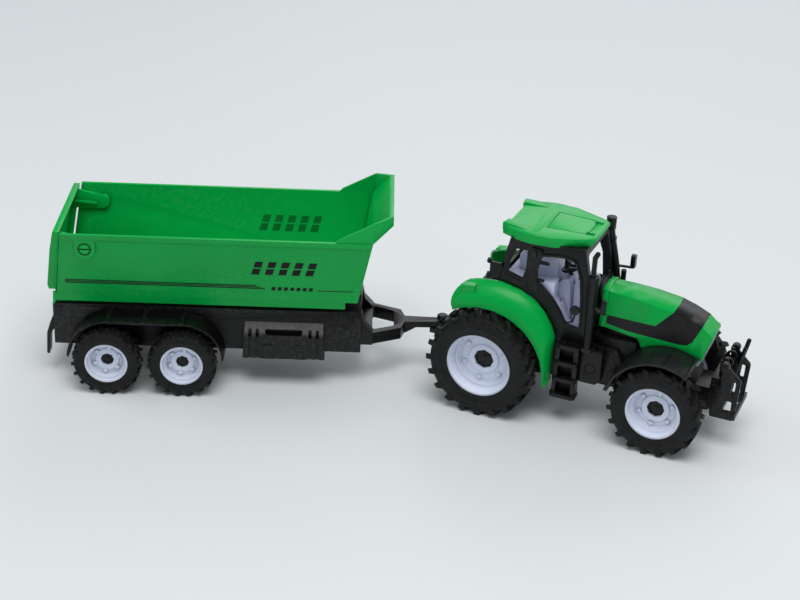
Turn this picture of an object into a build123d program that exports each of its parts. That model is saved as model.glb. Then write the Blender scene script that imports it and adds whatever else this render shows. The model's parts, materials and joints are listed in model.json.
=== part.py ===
from build123d import *
import math
import os

# Toy tractor with a hitched tipping trailer, in millimetres, +Z up.
# The tractor points along +X. Its own origin is on the ground under the rear axle.
# The trailer is built in its own frame, whose origin is on the ground under its rear axle,
# and is then turned about the tow pin. At the end everything is moved so that the origin is
# on the ground at the middle of the whole footprint.

# ---- driving dimensions ----
FIT = 0.05  # radial running clearance of every shaft
AXLE_R = 1.5
CAP_DEPTH = 1.0  # thickness of a hub cap

REAR_TYRE_R = 33.0
REAR_RIM_R = 19.9
REAR_FACE_Y = 43.5  # outer face of the tyre
REAR_TYRE_WIDTH = 20.5
REAR_RIM_Y = 42.0
REAR_CAP_Y = 31.6  # outer face of the hub cap
REAR_CAP_R = 6.2
REAR_LUGS = 20

FRONT_AXLE_X = 105.7
FRONT_TYRE_R = 27.2
FRONT_RIM_R = 16.2
FRONT_FACE_Y = 39.9
FRONT_TYRE_WIDTH = 17.0
FRONT_RIM_Y = 38.7
FRONT_CAP_Y = 30.8
FRONT_CAP_R = 5.3
FRONT_LUGS = 18

TRAILER_TYRE_R = 20.7
TRAILER_RIM_R = 12.75
TRAILER_FACE_Y = 46.0
TRAILER_TYRE_WIDTH = 13.5
TRAILER_RIM_Y = 45.0
TRAILER_CAP_Y = 38.4
TRAILER_CAP_R = 4.0
TRAILER_LUGS = 18
TRAILER_WHEELBASE = 44.8
TRAILER_AXLE_R = 1.2

CAB_Y = 22.0  # half width of the cab
CAB_WALL = 1.8
HOOD_Y = 12.0
FRONT_WING_R = 30.6  # outer radius of the front mudguards
SHELL = 1.4  # wall of the moulded shells
CAB_REAR_TOP = (7.8, 110.0)
CAB_FRONT_TOP = (52.9, 111.2)
CAB_ARCH_R = 48.1  # arched lower edge of the cab, about the rear axle
DOOR_BAND = 0.9  # how far the door frame stands out from the cab side

HOOD_SECTIONS = (
    # x, half width at the top crease, height of the crease, height of the crown
    (62.0, 8.6, 83.2, 84.6),
    (76.0, 9.8, 82.6, 84.0),
    (90.0, 10.7, 81.4, 82.7),
    (104.0, 10.9, 79.4, 80.6),
    (113.0, 10.3, 76.9, 78.0),
    (121.5, 9.8, 73.4, 74.3),
    (128.8, 9.2, 67.6, 68.2),
)

ROOF_TOP = 116.0
ROOF_BOTTOM = 109.6
ROOF_EDGE = (
    # x and half width of the roof seen from above, from the rear corner to the front corner
    (1.2, 18.0),
    (10.0, 22.0),
    (16.0, 24.0),
    (26.0, 24.2),
    (33.0, 23.8),
    (40.0, 21.0),
    (51.0, 16.5),
    (56.0, 13.0),
)

MUDGUARD_WALL = 1.25
MUDGUARD_IN_Y = -22.05  # side of the mudguard that meets the cab
MUDGUARD_LIP_Y = -33.3
MUDGUARD_SECTIONS = (
    # angle of the lip and of the dome about the rear axle, radius of the lip and of the dome
    (127.0, 109.0, 36.2, 47.5),
    (115.0, 103.0, 35.4, 47.6),
    (100.0, 96.0, 34.8, 47.8),
    (85.0, 85.0, 34.4, 48.0),
    (70.0, 70.0, 34.3, 48.0),
    (58.0, 58.0, 34.4, 47.9),
    (47.0, 47.0, 34.6, 47.0),
    (36.0, 36.0, 35.0, 45.5),
    (27.0, 27.0, 35.5, 44.4),
    (14.0, 14.0, 36.3, 40.0),
    (0.0, 0.0, 37.4, 38.9),
    (-10.0, -10.0, 38.7, 39.4),
)

SEAT_FRONT = [(31.9, 70.4), (31.9, 74.0), (35.1, 81.5), (38.0, 83.7), (40.2, 83.9)]
SEAT_FRONT += [(41.2, 82.1), (43.0, 58.0)]
COLUMN_FOOT = (40.8, 0, 78.0)
COLUMN_AXIS = (-0.26, 0, 0.9656)
COLUMN_LENGTH = 9.0
WHEEL_HUB = 1.2  # thickness of the steering wheel's hub

SCREW_X = (-20.0, 24.0, 70.0)  # belly screws
SCREW_R = 1.2

EXHAUST_X = 60.2
EXHAUST_Y = -25.2
EXHAUST_R = 2.7
INTAKE_Y = 25.0
INTAKE_R = 2.4
INTAKE_PATH = [
    (60.2, INTAKE_Y, 51.6),
    (59.8, INTAKE_Y, 75.5),
    (58.0, INTAKE_Y, 86.0),
    (54.9, INTAKE_Y, 99.4),
    (53.2, INTAKE_Y, 108.0),
]

HITCH_X = -40.2  # tow pin in the tractor's frame
TOW_PIN_R = 1.8
DRAWBAR_EYE_X = 200.7  # the same point in the trailer's frame
REST_YAW = 23.8  # how far the trailer stands turned at rest

CHASSIS_Y = 23.5  # half width of the trailer chassis
CHASSIS_TOP = 49.0
CHASSIS_BOTTOM = 22.0
TIP_X = -29.5  # tipping hinge in the trailer's frame
TIP_Z = 46.6
TIP_PIN_R = 1.2
EAR_SLOT_Y = (17.0, 21.0)  # slots in the chassis top for the hinge ears
BOX_WALL = 1.6
BOX_RIM_Z = 101.7
BOX_CREASE_Z = 58.5
BOX_FLOOR_Y = 27.0
BOX_RIM_Y = 38.6
GATE_X = -10.5  # tailgate hinge in the trailer's frame
GATE_Z = 92.2
GATE_PIN_R = 3.9
GATE_BOSS_R = 6.0
TRAILER_SCREW_X = (12.0, 70.0, 120.0)


# ---- helpers ----
def flat(outline):
    return Polygon(*outline, align=None) if isinstance(outline, list) else outline


def side_prism(outline, y0, y1):
    """Extrudes an outline of (x, z) points from y0 to y1."""
    sketch = Plane.XZ * flat(outline)
    return Pos(0, y1, 0) * extrude(sketch, amount=y1 - y0, dir=(0, -1, 0))


def plan_prism(outline, z0, z1):
    """Extrudes an outline of (x, y) points from z0 to z1."""
    return Pos(0, 0, z0) * extrude(flat(outline), amount=z1 - z0, dir=(0, 0, 1))


def cross_prism(outline, x0, x1):
    """Extrudes an outline of (y, z) points from x0 to x1."""
    sketch = Plane.YZ * flat(outline)
    return Pos(x0, 0, 0) * extrude(sketch, amount=x1 - x0, dir=(1, 0, 0))


def ring(outline):
    """Turns an outline of (y, radius) points about the Y axis."""
    return revolve(Plane.YZ * flat(outline), axis=Axis.Y)


def block(x0, x1, y0, y1, z0, z1):
    size = Box(x1 - x0, y1 - y0, z1 - z0)
    return Pos((x0 + x1) / 2, (y0 + y1) / 2, (z0 + z1) / 2) * size


def rod_y(x, z, radius, y0, y1):
    return side_prism(Pos(x, z) * Circle(radius), y0, y1)


def rod_z(x, y, radius, z0, z1):
    return plan_prism(Pos(x, y) * Circle(radius), z0, z1)


def tube_path(points, radius):
    """A round bar along straight runs, with a ball at each bend."""
    bar = Pos(*points[0]) * Sphere(radius)
    for start, end in zip(points, points[1:]):
        run = Vector(*end) - Vector(*start)
        plane = Plane(origin=start, z_dir=run)
        bar += extrude(plane * Circle(radius), amount=run.length)
        bar += Pos(*end) * Sphere(radius)
    return bar


def polar(radius, degrees, x=0.0, z=0.0):
    """Point (x, z) at an angle above +X, seen from the near side."""
    angle = math.radians(degrees)
    return (x + radius * math.cos(angle), z + radius * math.sin(angle))


def sector(r_in, r_out, start, stop, x, z):
    """Ring sector outline about (x, z) with true arcs on both sides."""
    mid = (start + stop) / 2
    outer = ThreePointArc(
        polar(r_out, start, x, z), polar(r_out, mid, x, z), polar(r_out, stop, x, z)
    )
    inner = ThreePointArc(
        polar(r_in, stop, x, z), polar(r_in, mid, x, z), polar(r_in, start, x, z)
    )
    return make_face([outer, Line(outer @ 1, inner @ 0), inner, Line(inner @ 1, outer @ 0)])


def common(first, *others):
    for other in others:
        first = first & other
    return first


def mirrored(part):
    return mirror(part, about=Plane.XZ)


def both_sides(part):
    return Compound(children=[part, mirrored(part)])


# ---- wheels, built about the Y axis on the near side (-Y) ----
def tyre(radius, bore, face_y, width, lugs, lug_height):
    """Tread of two staggered rows of flat-topped lugs on a turned carcass."""
    y_out, y_in = -face_y, -face_y + width
    y_mid = (y_out + y_in) / 2
    shoulder = radius - lug_height
    crown = 0.12 * radius
    carcass = ring(
        [
            (y_out + 1.2, bore),
            (y_out, bore + 1.6),
            (y_out, shoulder - crown),
            (y_out + crown * 0.6, shoulder),
            (y_in - crown * 0.6, shoulder),
            (y_in, shoulder - crown),
            (y_in, bore + 1.6),
            (y_in - 1.2, bore),
        ]
    )
    lug_width = 0.42 * 2 * math.pi * radius / lugs
    lug = Pos(0, -radius + lug_height) * Rectangle(lug_width, 2 * lug_height)
    row = Sketch() + [Rot(0, 0, i * 360 / lugs) * lug for i in range(lugs)]
    near = side_prism(row, y_out + 0.8, y_mid)
    far = side_prism(Rot(0, 0, 180 / lugs) * row, y_mid, y_in - 0.8)
    return carcass + near + far


def rim(radius, rim_y, face_y, width, cap_y, cap_r):
    """Deep stepped dish with six small bosses round the disc and an eight-sided hub recess."""
    y_lip = -rim_y
    y_in = -face_y + width - 1.2
    y_disc = -cap_y - 0.6
    disc_r = 0.72 * radius
    body = ring(
        [
            (y_in, radius),
            (y_lip, radius),
            (y_lip, radius - 1.2),
            (y_lip + 2.4, 0.90 * radius),
            (y_disc - 3.4, 0.86 * radius),
            (y_disc - 3.0, 0.80 * radius),
            (y_disc - 1.2, 0.78 * radius),
            (y_disc, disc_r),
            (y_disc, cap_r + 3.2),
            (y_disc - 0.7, cap_r + 2.8),
            (y_disc - 0.7, 0),
            (y_disc + 2.0, 0),
            (y_disc + 2.0, disc_r),
            (y_in, 0.86 * radius),
        ]
    )
    for i in range(6):
        x, z = polar(disc_r - 1.6, 60 * i + 20)
        body += rod_y(x, z, 1.25, y_disc - 1.0, y_disc + 0.5)
    hub = rod_y(0, 0, cap_r * 0.8, y_disc, y_in)
    recess = side_prism(RegularPolygon(cap_r + 0.02, 8), y_disc - 2.0, -cap_y + CAP_DEPTH)
    return body + hub - recess


def hub_cap(cap_y, cap_r):
    """Black eight-sided plug over the axle end."""
    plug = side_prism(RegularPolygon(cap_r, 8), -cap_y, -cap_y + CAP_DEPTH)
    pip = rod_y(0, 0, cap_r * 0.28, -cap_y - 0.4, -cap_y)
    return plug + pip


def wheel_set(name, spec, x, pieces):
    """Tyre, rim and cap on both ends of one steel axle."""
    radius, bore, face_y, width, rim_y, cap_y, cap_r, axle_r, lugs, lug_height = spec
    place = Pos(x, 0, radius)
    bare_rim = rim(bore, rim_y, face_y, width, cap_y, cap_r)
    axle_end = cap_y - CAP_DEPTH
    near_rim = bare_rim - rod_y(0, 0, axle_r, -axle_end - 0.5, 0)
    near_tyre = tyre(radius, bore, face_y, width, lugs, lug_height)
    near_cap = hub_cap(cap_y, cap_r)
    pieces[name + "_tyre_right"] = place * near_tyre
    pieces[name + "_tyre_left"] = place * mirrored(near_tyre)
    pieces[name + "_rim_right"] = place * near_rim
    pieces[name + "_rim_left"] = place * mirrored(near_rim)
    pieces[name + "_hub_caps"] = place * both_sides(near_cap)
    pieces[name + "_axle"] = place * rod_y(0, 0, axle_r, -axle_end, axle_end)


# ---- tractor ----
def chassis():
    """Lower body: gearbox, engine block, axle housings, tow plate and front bracket."""
    spine = [(-30, 24), (-30, 42), (-8, 46), (2, 49), (60, 49), (64, 60), (88, 58), (88, 50)]
    spine += [(116, 44), (122, 36.5), (131, 36.5), (131, 22), (112, 21), (84, 22), (58, 22), (30, 20)]
    body = side_prism(spine, -10.4, 10.4)
    body += block(-9, 9, -20.5, 20.5, 26, 42)
    body += block(14, 56.3, -20.5, 20.5, 42, 48.9)
    flank = block(60.4, 86, -14.5, 14.5, 26, 56)
    flank += side_prism([(57, 28), (57, 49.9), (76, 49.9), (84, 34), (84, 28)], -17.5, 17.5)
    wheel_well = rod_y(FRONT_AXLE_X, FRONT_TYRE_R, FRONT_WING_R + FIT, -30, 30)
    body += flank - wheel_well
    body += block(98, 113, -17.5, 17.5, 22.5, 33)
    body += block(-46, -28, -6, 6, 26.8, 29.8)
    cavity = block(-27, 84, -8.6, 8.6, 19, 40)
    cavity += block(92, 118, -8.6, 8.6, 19, 38)
    body -= cavity
    body -= rod_y(0, REAR_TYRE_R, AXLE_R + FIT, -30, 30)
    body -= rod_y(FRONT_AXLE_X, FRONT_TYRE_R, AXLE_R + FIT, -30, 30)
    body -= rod_z(HITCH_X, 0, TOW_PIN_R, 20, 40)
    for x in SCREW_X:
        post = block(x - 2.5, x + 2.5, -8.6, 8.6, 24.2, 40)
        body += post - rod_z(x, 0, SCREW_R, 20, 34)
    return body


def belly_plate():
    """Plate that closes the chassis from below, with countersunk screw holes."""
    plate = block(-26.9, 83.9, -8.5, 8.5, 22.6, 24.1)
    plate = fillet(plate.edges().filter_by(Axis.Z), 2.0)
    for x in SCREW_X:
        plate -= rod_z(x, 0, SCREW_R + FIT, 20, 26)
    return plate


def belly_screws():
    """Three round-headed screws with a cross slot."""
    screws = []
    for x in SCREW_X:
        screw = rod_z(x, 0, 2.4, 21.4, 22.6) + rod_z(x, 0, SCREW_R, 22.6, 33.5)
        screw -= block(x - 1.6, x + 1.6, -0.3, 0.3, 21.4, 22.0)
        screw -= block(x - 0.3, x + 0.3, -1.6, 1.6, 21.4, 22.0)
        screws.append(screw)
    return Compound(children=screws)


def tow_pin():
    """Round-headed pin standing on the tow plate."""
    shank = rod_z(HITCH_X, 0, TOW_PIN_R, 26.8, 35.2)
    head = rod_z(HITCH_X, 0, 3.4, 34.8, 37.7)
    head = fillet(head.edges().group_by(Axis.Z)[-1], 1.2)
    return shank + head


def hood_outer(inset=0.0):
    """Lofted bonnet volume, down to below its lower edge."""
    faces = []
    for x, crease, z_crease, z_crown in HOOD_SECTIONS:
        side = HOOD_Y - 0.16 * max(0.0, x - 118.0) - inset
        w = crease - inset
        shoulder = z_crease - inset
        outline = [(-side, 40), (-side, 60), (-w, shoulder), (0, z_crown - inset)]
        outline += [(w, shoulder), (side, 60), (side, 40)]
        faces.append(Pos(x, 0, 0) * (Plane.YZ * flat(outline)))
    return loft(faces, ruled=True)


def hood():
    """Bonnet shell cut round the front wheels, with a raised collar and recessed nose panels."""
    outer = hood_outer()
    behind_nose = [(40, 30), (40, 100), (127.3, 100), (127.3, 67.0), (119.8, 45.6), (114.5, 30)]
    below = [(50, 30), (50, 61.4), (64, 61.2), (85.5, 58.4), (88.6, 53.0), (100, 45.5)]
    below += [(124, 45.5), (124, 30)]
    front = [(115.3, 30), (121.5, 45.5), (128.8, 67.6), (140, 67.6), (140, 30)]
    shell = outer - common(hood_outer(SHELL), side_prism(behind_nose, -30, 30))
    shell -= side_prism(below, -30, 30) + side_prism(front, -30, 30)
    shell -= rod_y(FRONT_AXLE_X, FRONT_TYRE_R, FRONT_WING_R + 0.1, -30, 30)
    collar = common(hood_outer(-0.7), block(62, 65.4, -30, 30, 61.3, 100))
    collar -= common(hood_outer(0.1), block(60, 70, -30, 30, 0, 100))
    shell += collar
    panel = side_prism([(116.4, 49.5), (119.3, 49.5), (122.6, 60.5), (119.2, 60.5)], -30, 30)
    shell -= panel - hood_outer(0.35)
    nose_opening = side_prism([(118, 47), (134, 47), (134, 63.5), (118, 63.5)], -7.6, 7.6)
    return shell - nose_opening


def headlamp_lens():
    """Clear grille and lamp insert in the nose."""
    face = [(122.0, 47.1), (127.4, 63.4), (124.9, 63.4), (119.5, 47.1)]
    lens = side_prism(face, -7.55, 7.55)
    for y in (-3.6, 0.0, 3.6):
        rib = [(121.8, 47.4), (127.0, 63.0), (127.8, 63.0), (122.6, 47.4)]
        lens += side_prism(rib, y - 0.4, y + 0.4)
    return lens


def wing_point(y, radius, lip, dome, share):
    """Point on a mudguard section whose angle runs from the lip's to the dome's."""
    angle = math.radians(lip + (dome - lip) * share)
    return Vector(radius * math.cos(angle), y, REAR_TYRE_R + radius * math.sin(angle))


def wing_section(lip_angle, dome_angle, lip_r, dome_r, wall):
    """Closed section under the arched skin of the mudguard, from the lip up to the cab side.

    With a wall it is the space below the skin, and reaches past the skin on both sides.
    """
    runs = 8
    roundness = 1.11
    lip_y = MUDGUARD_LIP_Y + wall
    inner_y = MUDGUARD_IN_Y + (1.0 if wall else 0.0)
    foot_y = MUDGUARD_LIP_Y - (1.0 if wall else 0.0)
    foot_r = 23.0 if wall else 24.0
    lip_r -= 0.6 * wall
    dome_r -= wall
    points = [wing_point(foot_y, lip_r, lip_angle, dome_angle, 0.0)] if wall else []
    for i in range(runs + 1):
        turn = math.pi / 2 * i / runs
        across = 1 - math.cos(turn) ** roundness
        y = lip_y + (inner_y - lip_y) * across
        radius = lip_r + (dome_r - lip_r) * math.sin(turn) ** roundness
        points.append(wing_point(y, radius, lip_angle, dome_angle, across))
    points.append(wing_point(inner_y, foot_r, lip_angle, dome_angle, 1.0))
    points.append(wing_point(foot_y, foot_r, lip_angle, dome_angle, 0.0))
    return points


def section_plane(lip_angle, dome_angle):
    """Plane of one section: it holds the lip and the dome line and leans when they differ."""
    lip = wing_point(MUDGUARD_LIP_Y, 36.0, lip_angle, dome_angle, 0.0)
    dome = wing_point(MUDGUARD_IN_Y, 48.0, lip_angle, dome_angle, 1.0)
    foot = Vector(0, (MUDGUARD_LIP_Y + MUDGUARD_IN_Y) / 2, REAR_TYRE_R)
    across = (dome - lip).normalized()
    normal = across.cross(foot - lip).normalized()
    return Plane(origin=foot, x_dir=across, z_dir=normal)


def wing_volume(sections, wall):
    """Ruled solid through the mudguard's sections, drawn in by the wall."""
    faces = []
    for lip_angle, dome_angle, lip_r, dome_r in sections:
        plane = section_plane(lip_angle, dome_angle)
        section = wing_section(lip_angle, dome_angle, lip_r, dome_r, wall)
        local = [plane.to_local_coords(p) for p in section]
        faces.append(plane * flat([(p.X, p.Y) for p in local]))
    return loft(faces, ruled=True)


def rear_mudguard():
    """Near-side domed wing with a rolled lip and a wedge-shaped lamp housing at the back."""
    first = MUDGUARD_SECTIONS[0]
    last = MUDGUARD_SECTIONS[-1]
    before = (first[0] + 6, first[1] + 6, first[2], first[3])
    after = (last[0] - 6, last[1] - 6, last[2], last[3])
    outer = wing_volume(MUDGUARD_SECTIONS, 0.0)
    inner = wing_volume((before,) + MUDGUARD_SECTIONS + (after,), MUDGUARD_WALL)
    skin = outer - inner
    lip = []
    for lip_angle, dome_angle, lip_r, dome_r in MUDGUARD_SECTIONS:
        angle = math.radians(lip_angle)
        edge = Plane(
            origin=(0, 0, REAR_TYRE_R),
            x_dir=(0, 1, 0),
            z_dir=(math.sin(angle), 0, -math.cos(angle)),
        )
        y = MUDGUARD_LIP_Y
        outline = [(y - 0.6, lip_r - 0.8), (y + 1.2, lip_r - 0.8), (y + 1.2, lip_r), (y - 0.6, lip_r)]
        lip.append(edge * flat(outline))
    skin += loft(lip, ruled=True)
    tip = rounded([(36.0, 26.6), (39.4, 26.6), (38.6, 22.6), (36.4, 23.4)], 0.8)
    skin += side_prism(tip, -31.5, -23.0)
    wedge = [(-22.3, 67.0), (-17.2, 77.3), (-9.2, 78.3), (-9.0, 75.0), (-14.5, 70.5)]
    lamp = side_prism(wedge, -31.0, -25.5)
    return skin + (lamp - inner)


def front_mudguard():
    """Near-side charcoal wing with two ribs, a turned-up front edge and a rear tab."""
    x, z = FRONT_AXLE_X, FRONT_TYRE_R
    r_out = FRONT_WING_R
    r_in = r_out - 1.3
    wing = side_prism(sector(r_in, r_out, 60, 166, x, z), -36.5, -11.05)
    wing += side_prism(sector(r_in, r_out + 2.0, 57.5, 60.5, x, z), -36.5, -12.5)
    wing += side_prism(sector(r_in, r_out + 0.9, 164, 168, x, z), -36.5, -22.0)
    for angle in (86, 104):
        wing += side_prism(sector(r_out - 0.2, r_out + 0.35, angle, angle + 1.2, x, z), -33, -16)
    return wing


def cab_outline():
    """Side view of the cab: slanted rear, arched lower edge over the wheel, leaning front."""
    arch = ThreePointArc(
        polar(CAB_ARCH_R, 46.8, 0, REAR_TYRE_R),
        polar(CAB_ARCH_R, 67, 0, REAR_TYRE_R),
        polar(CAB_ARCH_R, 88, 0, REAR_TYRE_R),
    )
    rest = Polyline(
        arch @ 1, (1.0, 83.0), CAB_REAR_TOP, CAB_FRONT_TOP, (56.6, 92.7),
        (60.2, 54.0), (60.2, 50.2), (41.0, 50.2), (39.75, 53.4), arch @ 0,
    )
    return make_face([arch, rest])


def rounded(points, radius):
    face = flat(points)
    return fillet(face.vertices(), radius)


def cab_windows():
    """Side openings: the quarter light and the door glass with its curved lower edge."""
    light = [(11.4, 103.1), (18.4, 103.6), (18.2, 91.8), (16.2, 85.4), (6.8, 88.1), (8.4, 95.0)]
    quarter = rounded(light, 0.9)
    sweep = ThreePointArc((44.6, 62.6), (37.2, 75.0), (25.6, 85.2))
    upper = Polyline(
        sweep @ 1, (25.2, 92.0), (26.2, 97.5), (28.0, 102.3), (37.7, 103.8), (44.5, 103.9), (47.6, 102.2),
        (51.1, 92.9), (52.4, 80.0), (53.0, 66.0), (52.6, 61.2), sweep @ 0,
    )
    return quarter, make_face([sweep, upper])


def door_band(door):
    """Raised frame round the door glass, broad along the pillar behind it."""
    pillar = [(28.0, 106.4), (21.3, 106.5), (18.8, 92.2), (19.4, 79.6), (26.4, 79.6)]
    return (offset(door, 1.4) + flat(pillar)) - door


def cab_frame():
    """Hollow black cab with open windows all round, raised door frames and hinge pins."""
    outer = side_prism(cab_outline(), -CAB_Y, CAB_Y)
    core = offset(cab_outline(), -CAB_WALL)
    body = outer - side_prism(core, -CAB_Y + CAB_WALL, CAB_Y - CAB_WALL)
    quarter, door = cab_windows()
    body -= side_prism(quarter, -40, 40)
    body -= side_prism(door, -40, 40)
    body -= cross_prism(rounded([(-19, 82), (-18, 107), (18, 107), (19, 82)], 2.0), 45, 70)
    body -= cross_prism(rounded([(-18, 86), (-17, 106), (17, 106), (18, 86)], 2.0), -5, 12)
    body -= side_prism([(4, 70), (4, 78), (60, 56), (58, 49), (42, 49)], -17, 17)
    recess = [(10.5, 105.2), (18.6, 105.6), (18.1, 91.2), (15.6, 83.2), (5.2, 86.2), (7.2, 95.0)]
    for side in (-1, 1):
        y0, y1 = sorted((side * CAB_Y, side * (CAB_Y + DOOR_BAND)))
        body += side_prism(door_band(door), y0, y1)
        y0, y1 = sorted((side * (CAB_Y - 0.5), side * (CAB_Y + 2)))
        body -= side_prism(flat(recess), y0, y1)
        body += hinge_pin(26.4, 31.6, side * (CAB_Y + DOOR_BAND), 98.5)
        body += hinge_pin(24.8, 29.2, side * (CAB_Y + DOOR_BAND), 87.3)
        body += block(21.9, 24.3, *sorted((side * CAB_Y, side * (CAB_Y + 1.7))), 100.8, 105.2)
    return body


def hinge_pin(x0, x1, y, z):
    """A short peg along X with a rounded end."""
    radius = 1.1
    return cross_prism(Pos(y, z) * Circle(radius), x0, x1) + Pos(x1, y, z) * Sphere(radius)


def stay_bar():
    """Near-side grab bar that follows the door's lower edge, with a round pad at its front end."""
    y = -CAB_Y - 1.65
    radius = 0.55
    path = [(26.2, y, 84.6), (33.2, y, 80.0), (39.4, y, 73.2), (43.4, y, 66.4), (46.4, y, 64.4)]
    path += [(49.4, y, 66.0), (50.4, y, 70.6)]
    bar = tube_path(path, radius)
    pad = rod_y(50.2, 73.4, 2.9, y - 0.6, -CAB_Y - DOOR_BAND - 0.05)
    return bar + pad


def roof():
    """Barrel-shaped roof with raised rear corners, a hatch outline and two hinge blocks."""
    near = [(x, -y) for x, y in ROOF_EDGE]
    side = Spline(*near[:4])
    front = Polyline(*near[3:], (56.8, 0.0))
    tail = Polyline((56.8, 0.0), (3.0, 0.0), (3.0, near[0][1] + 7.5), near[0])
    half = make_face([side, front, tail])
    outline = half + mirror(half, about=Plane.XZ)
    body = plan_prism(outline, ROOF_BOTTOM, ROOF_TOP)
    rake = side_prism([(50, 100), (52.4, 109.0), (56.9, 115.2), (56.9, 120), (70, 120), (70, 100)], -30, 30)
    body -= rake
    body = chamfer(body.edges().group_by(Axis.Z)[-1], 0.8)
    for y in (-1, 1):
        outline = [(1.6, 112.4), (1.6, 116.6), (2.6, 117.2), (17.0, 116.1), (17.0, 112.4)]
        horn = side_prism(outline, -3.0, 3.0)
        body += Pos(0, y * 15.6, 0) * Rot(0, 0, y * 9) * horn
        hinge = block(48.4, 53.3, y * 8.4 - 1.1, y * 8.4 + 1.1, 115.5, 117.0)
        body += fillet(hinge.edges().group_by(Axis.Z)[-1], 0.5)
    hatch = flat([(25.2, -12.2), (50.2, -10.4), (50.2, 10.4), (25.2, 12.2)])
    groove = plan_prism(hatch - offset(hatch, -0.6), 115.5, 118)
    body -= groove
    pocket = side_prism(offset(cab_outline(), 0.05), -CAB_Y - 0.05, CAB_Y + 0.05)
    pocket = common(pocket, block(-10, 70, -30, 30, 90, 111.6))
    band = block(5, 60, -CAB_Y - 1.8, CAB_Y + 1.8, 100, ROOF_BOTTOM - 2.4)
    return body - pocket - band


def interior():
    """Pale one-piece seat tub: floor, wheel-arch liner, backrest, seat, side console and dash."""
    y = CAB_Y - CAB_WALL - 0.2
    tub = side_prism([(42.8, 52.1), (57.8, 52.1), (57.4, 55.0), (42.8, 55.0)], -y, y)
    tub += side_prism(sector(50.05, 52.6, 46, 84, 0, REAR_TYRE_R), -y, y)
    tub += side_prism([(35.4, 69.0), (38.0, 70.8), (45.0, 55.0), (45.0, 52.1), (42.8, 52.1)], -y, y)
    back = [(9.4, 80.0), (9.4, 93.6), (11.0, 95.2), (30.6, 96.2), (32.2, 94.4), (32.2, 70.4)]
    seat = side_prism(back, -8.0, 8.0)
    seat += side_prism(SEAT_FRONT, -8.0, 8.0)
    tub += seat - rod_y(0, REAR_TYRE_R, 50.05, -30, 30)
    console = [(22.2, 79.6), (22.2, 83.8), (35.6, 85.4), (35.3, 75.5), (37.6, 70.0), (36.4, 68.0)]
    tub += side_prism(console, -19.5, -12.0)
    dash = [(44.6, 53.0), (44.0, 80.6), (46.4, 84.4), (52.6, 85.0), (54.8, 82.4), (57.0, 53.0)]
    tub += side_prism(dash, -8.0, 8.0)
    return tub


def column_plane(distance):
    """Plane square to the steering column at a distance from its foot."""
    centre = [foot + distance * part for foot, part in zip(COLUMN_FOOT, COLUMN_AXIS)]
    return Plane(origin=centre, x_dir=(0, 1, 0), z_dir=COLUMN_AXIS)


def steering_column():
    """Black column leaning back from the seat pedestal, with a collar below the wheel."""
    column = column_plane(COLUMN_LENGTH / 2) * Cylinder(1.2, COLUMN_LENGTH)
    column += column_plane(COLUMN_LENGTH - 1.0) * Cylinder(1.6, 2.0)
    return column - side_prism(SEAT_FRONT, -8.0, 8.0)


def steering_wheel():
    """Rim and three spokes, set square to the column."""
    plane = column_plane(COLUMN_LENGTH + WHEEL_HUB / 2)
    wheel = plane * Torus(4.6, 0.75) + plane * Cylinder(1.6, WHEEL_HUB)
    for i in range(3):
        wheel += plane * (Rot(0, 0, 120 * i + 30) * Pos(2.6, 0, 0) * Box(3.8, 1.0, 0.8))
    return wheel


def exhaust_stack():
    """Near-side silencer with a collar, a thin bent tail pipe and a foot on the tank shelf."""
    x, y = EXHAUST_X, EXHAUST_Y
    body = rod_z(x, y, EXHAUST_R, 52.6, 97.0) + rod_z(x, y, EXHAUST_R + 0.4, 95.4, 98.2)
    body += rod_z(x, y, EXHAUST_R + 0.3, 55.2, 56.2)
    pipe = [(x - 0.6, y, 97.0), (x - 0.5, y, 109.6), (x + 0.8, y, 112.2)]
    body += tube_path(pipe, 1.5)
    mouth = Plane(origin=pipe[-1], z_dir=(0.45, 0, 0.89))
    body -= mouth * Pos(0, 0, 1.1) * Cylinder(0.95, 2.0)
    foot = block(60.5, 64.0, -24.0, -17.6, 50.0, 52.6) + block(57.4, 63.4, -28.0, -22.1, 50.0, 52.6)
    return body + foot


def intake_pipe(radius):
    """Curved stack that leans back along the cab pillar."""
    path = Spline(*INTAKE_PATH)
    start = Plane(origin=path @ 0, z_dir=path % 0)
    return sweep(start * Circle(radius), path=path)


def air_intake():
    """Far-side intake: a curved stack with a wide cap, a clamp, and a second post beside it."""
    body = intake_pipe(INTAKE_R)
    body += rod_z(53.4, INTAKE_Y, 3.0, 106.6, 114.0)
    body += block(52.2, 57.4, 23.0, 26.0, 98.2, 102.0)
    body += rod_z(64.0, INTAKE_Y, 1.6, 52.0, 81.6)
    return body + block(60.5, 66.0, 17.6, 27.8, 50.0, 52.8) + block(57.6, 61.0, 22.1, 27.8, 50.0, 52.8)


def near_mirror():
    """Small work lamp and arm on the silencer."""
    y = EXHAUST_Y - 2.8
    arm = tube_path([(61.4, EXHAUST_Y - 0.6, 79.4), (64.7, y, 78.5), (68.1, y, 77.6)], 0.9)
    arm -= rod_z(EXHAUST_X, EXHAUST_Y, EXHAUST_R, 50, 94)
    head = block(66.7, 69.5, y - 1.3, y + 1.3, 77.0, 86.0)
    head = fillet(head.edges().filter_by(Axis.Z), 0.7)
    return arm + head


def far_mirror():
    """Mirror on a bent arm, carried by the intake stack."""
    y = INTAKE_Y + 3.0
    arm = tube_path([(58.6, INTAKE_Y + 1.0, 80.6), (60.3, y, 82.3), (68.0, y + 1.0, 82.4)], 0.8)
    arm -= intake_pipe(INTAKE_R)
    head = block(66.5, 69.2, y + 0.4, y + 4.6, 81.8, 90.0)
    head = fillet(head.edges().filter_by(Axis.X), 1.0)
    return arm + head


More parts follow.
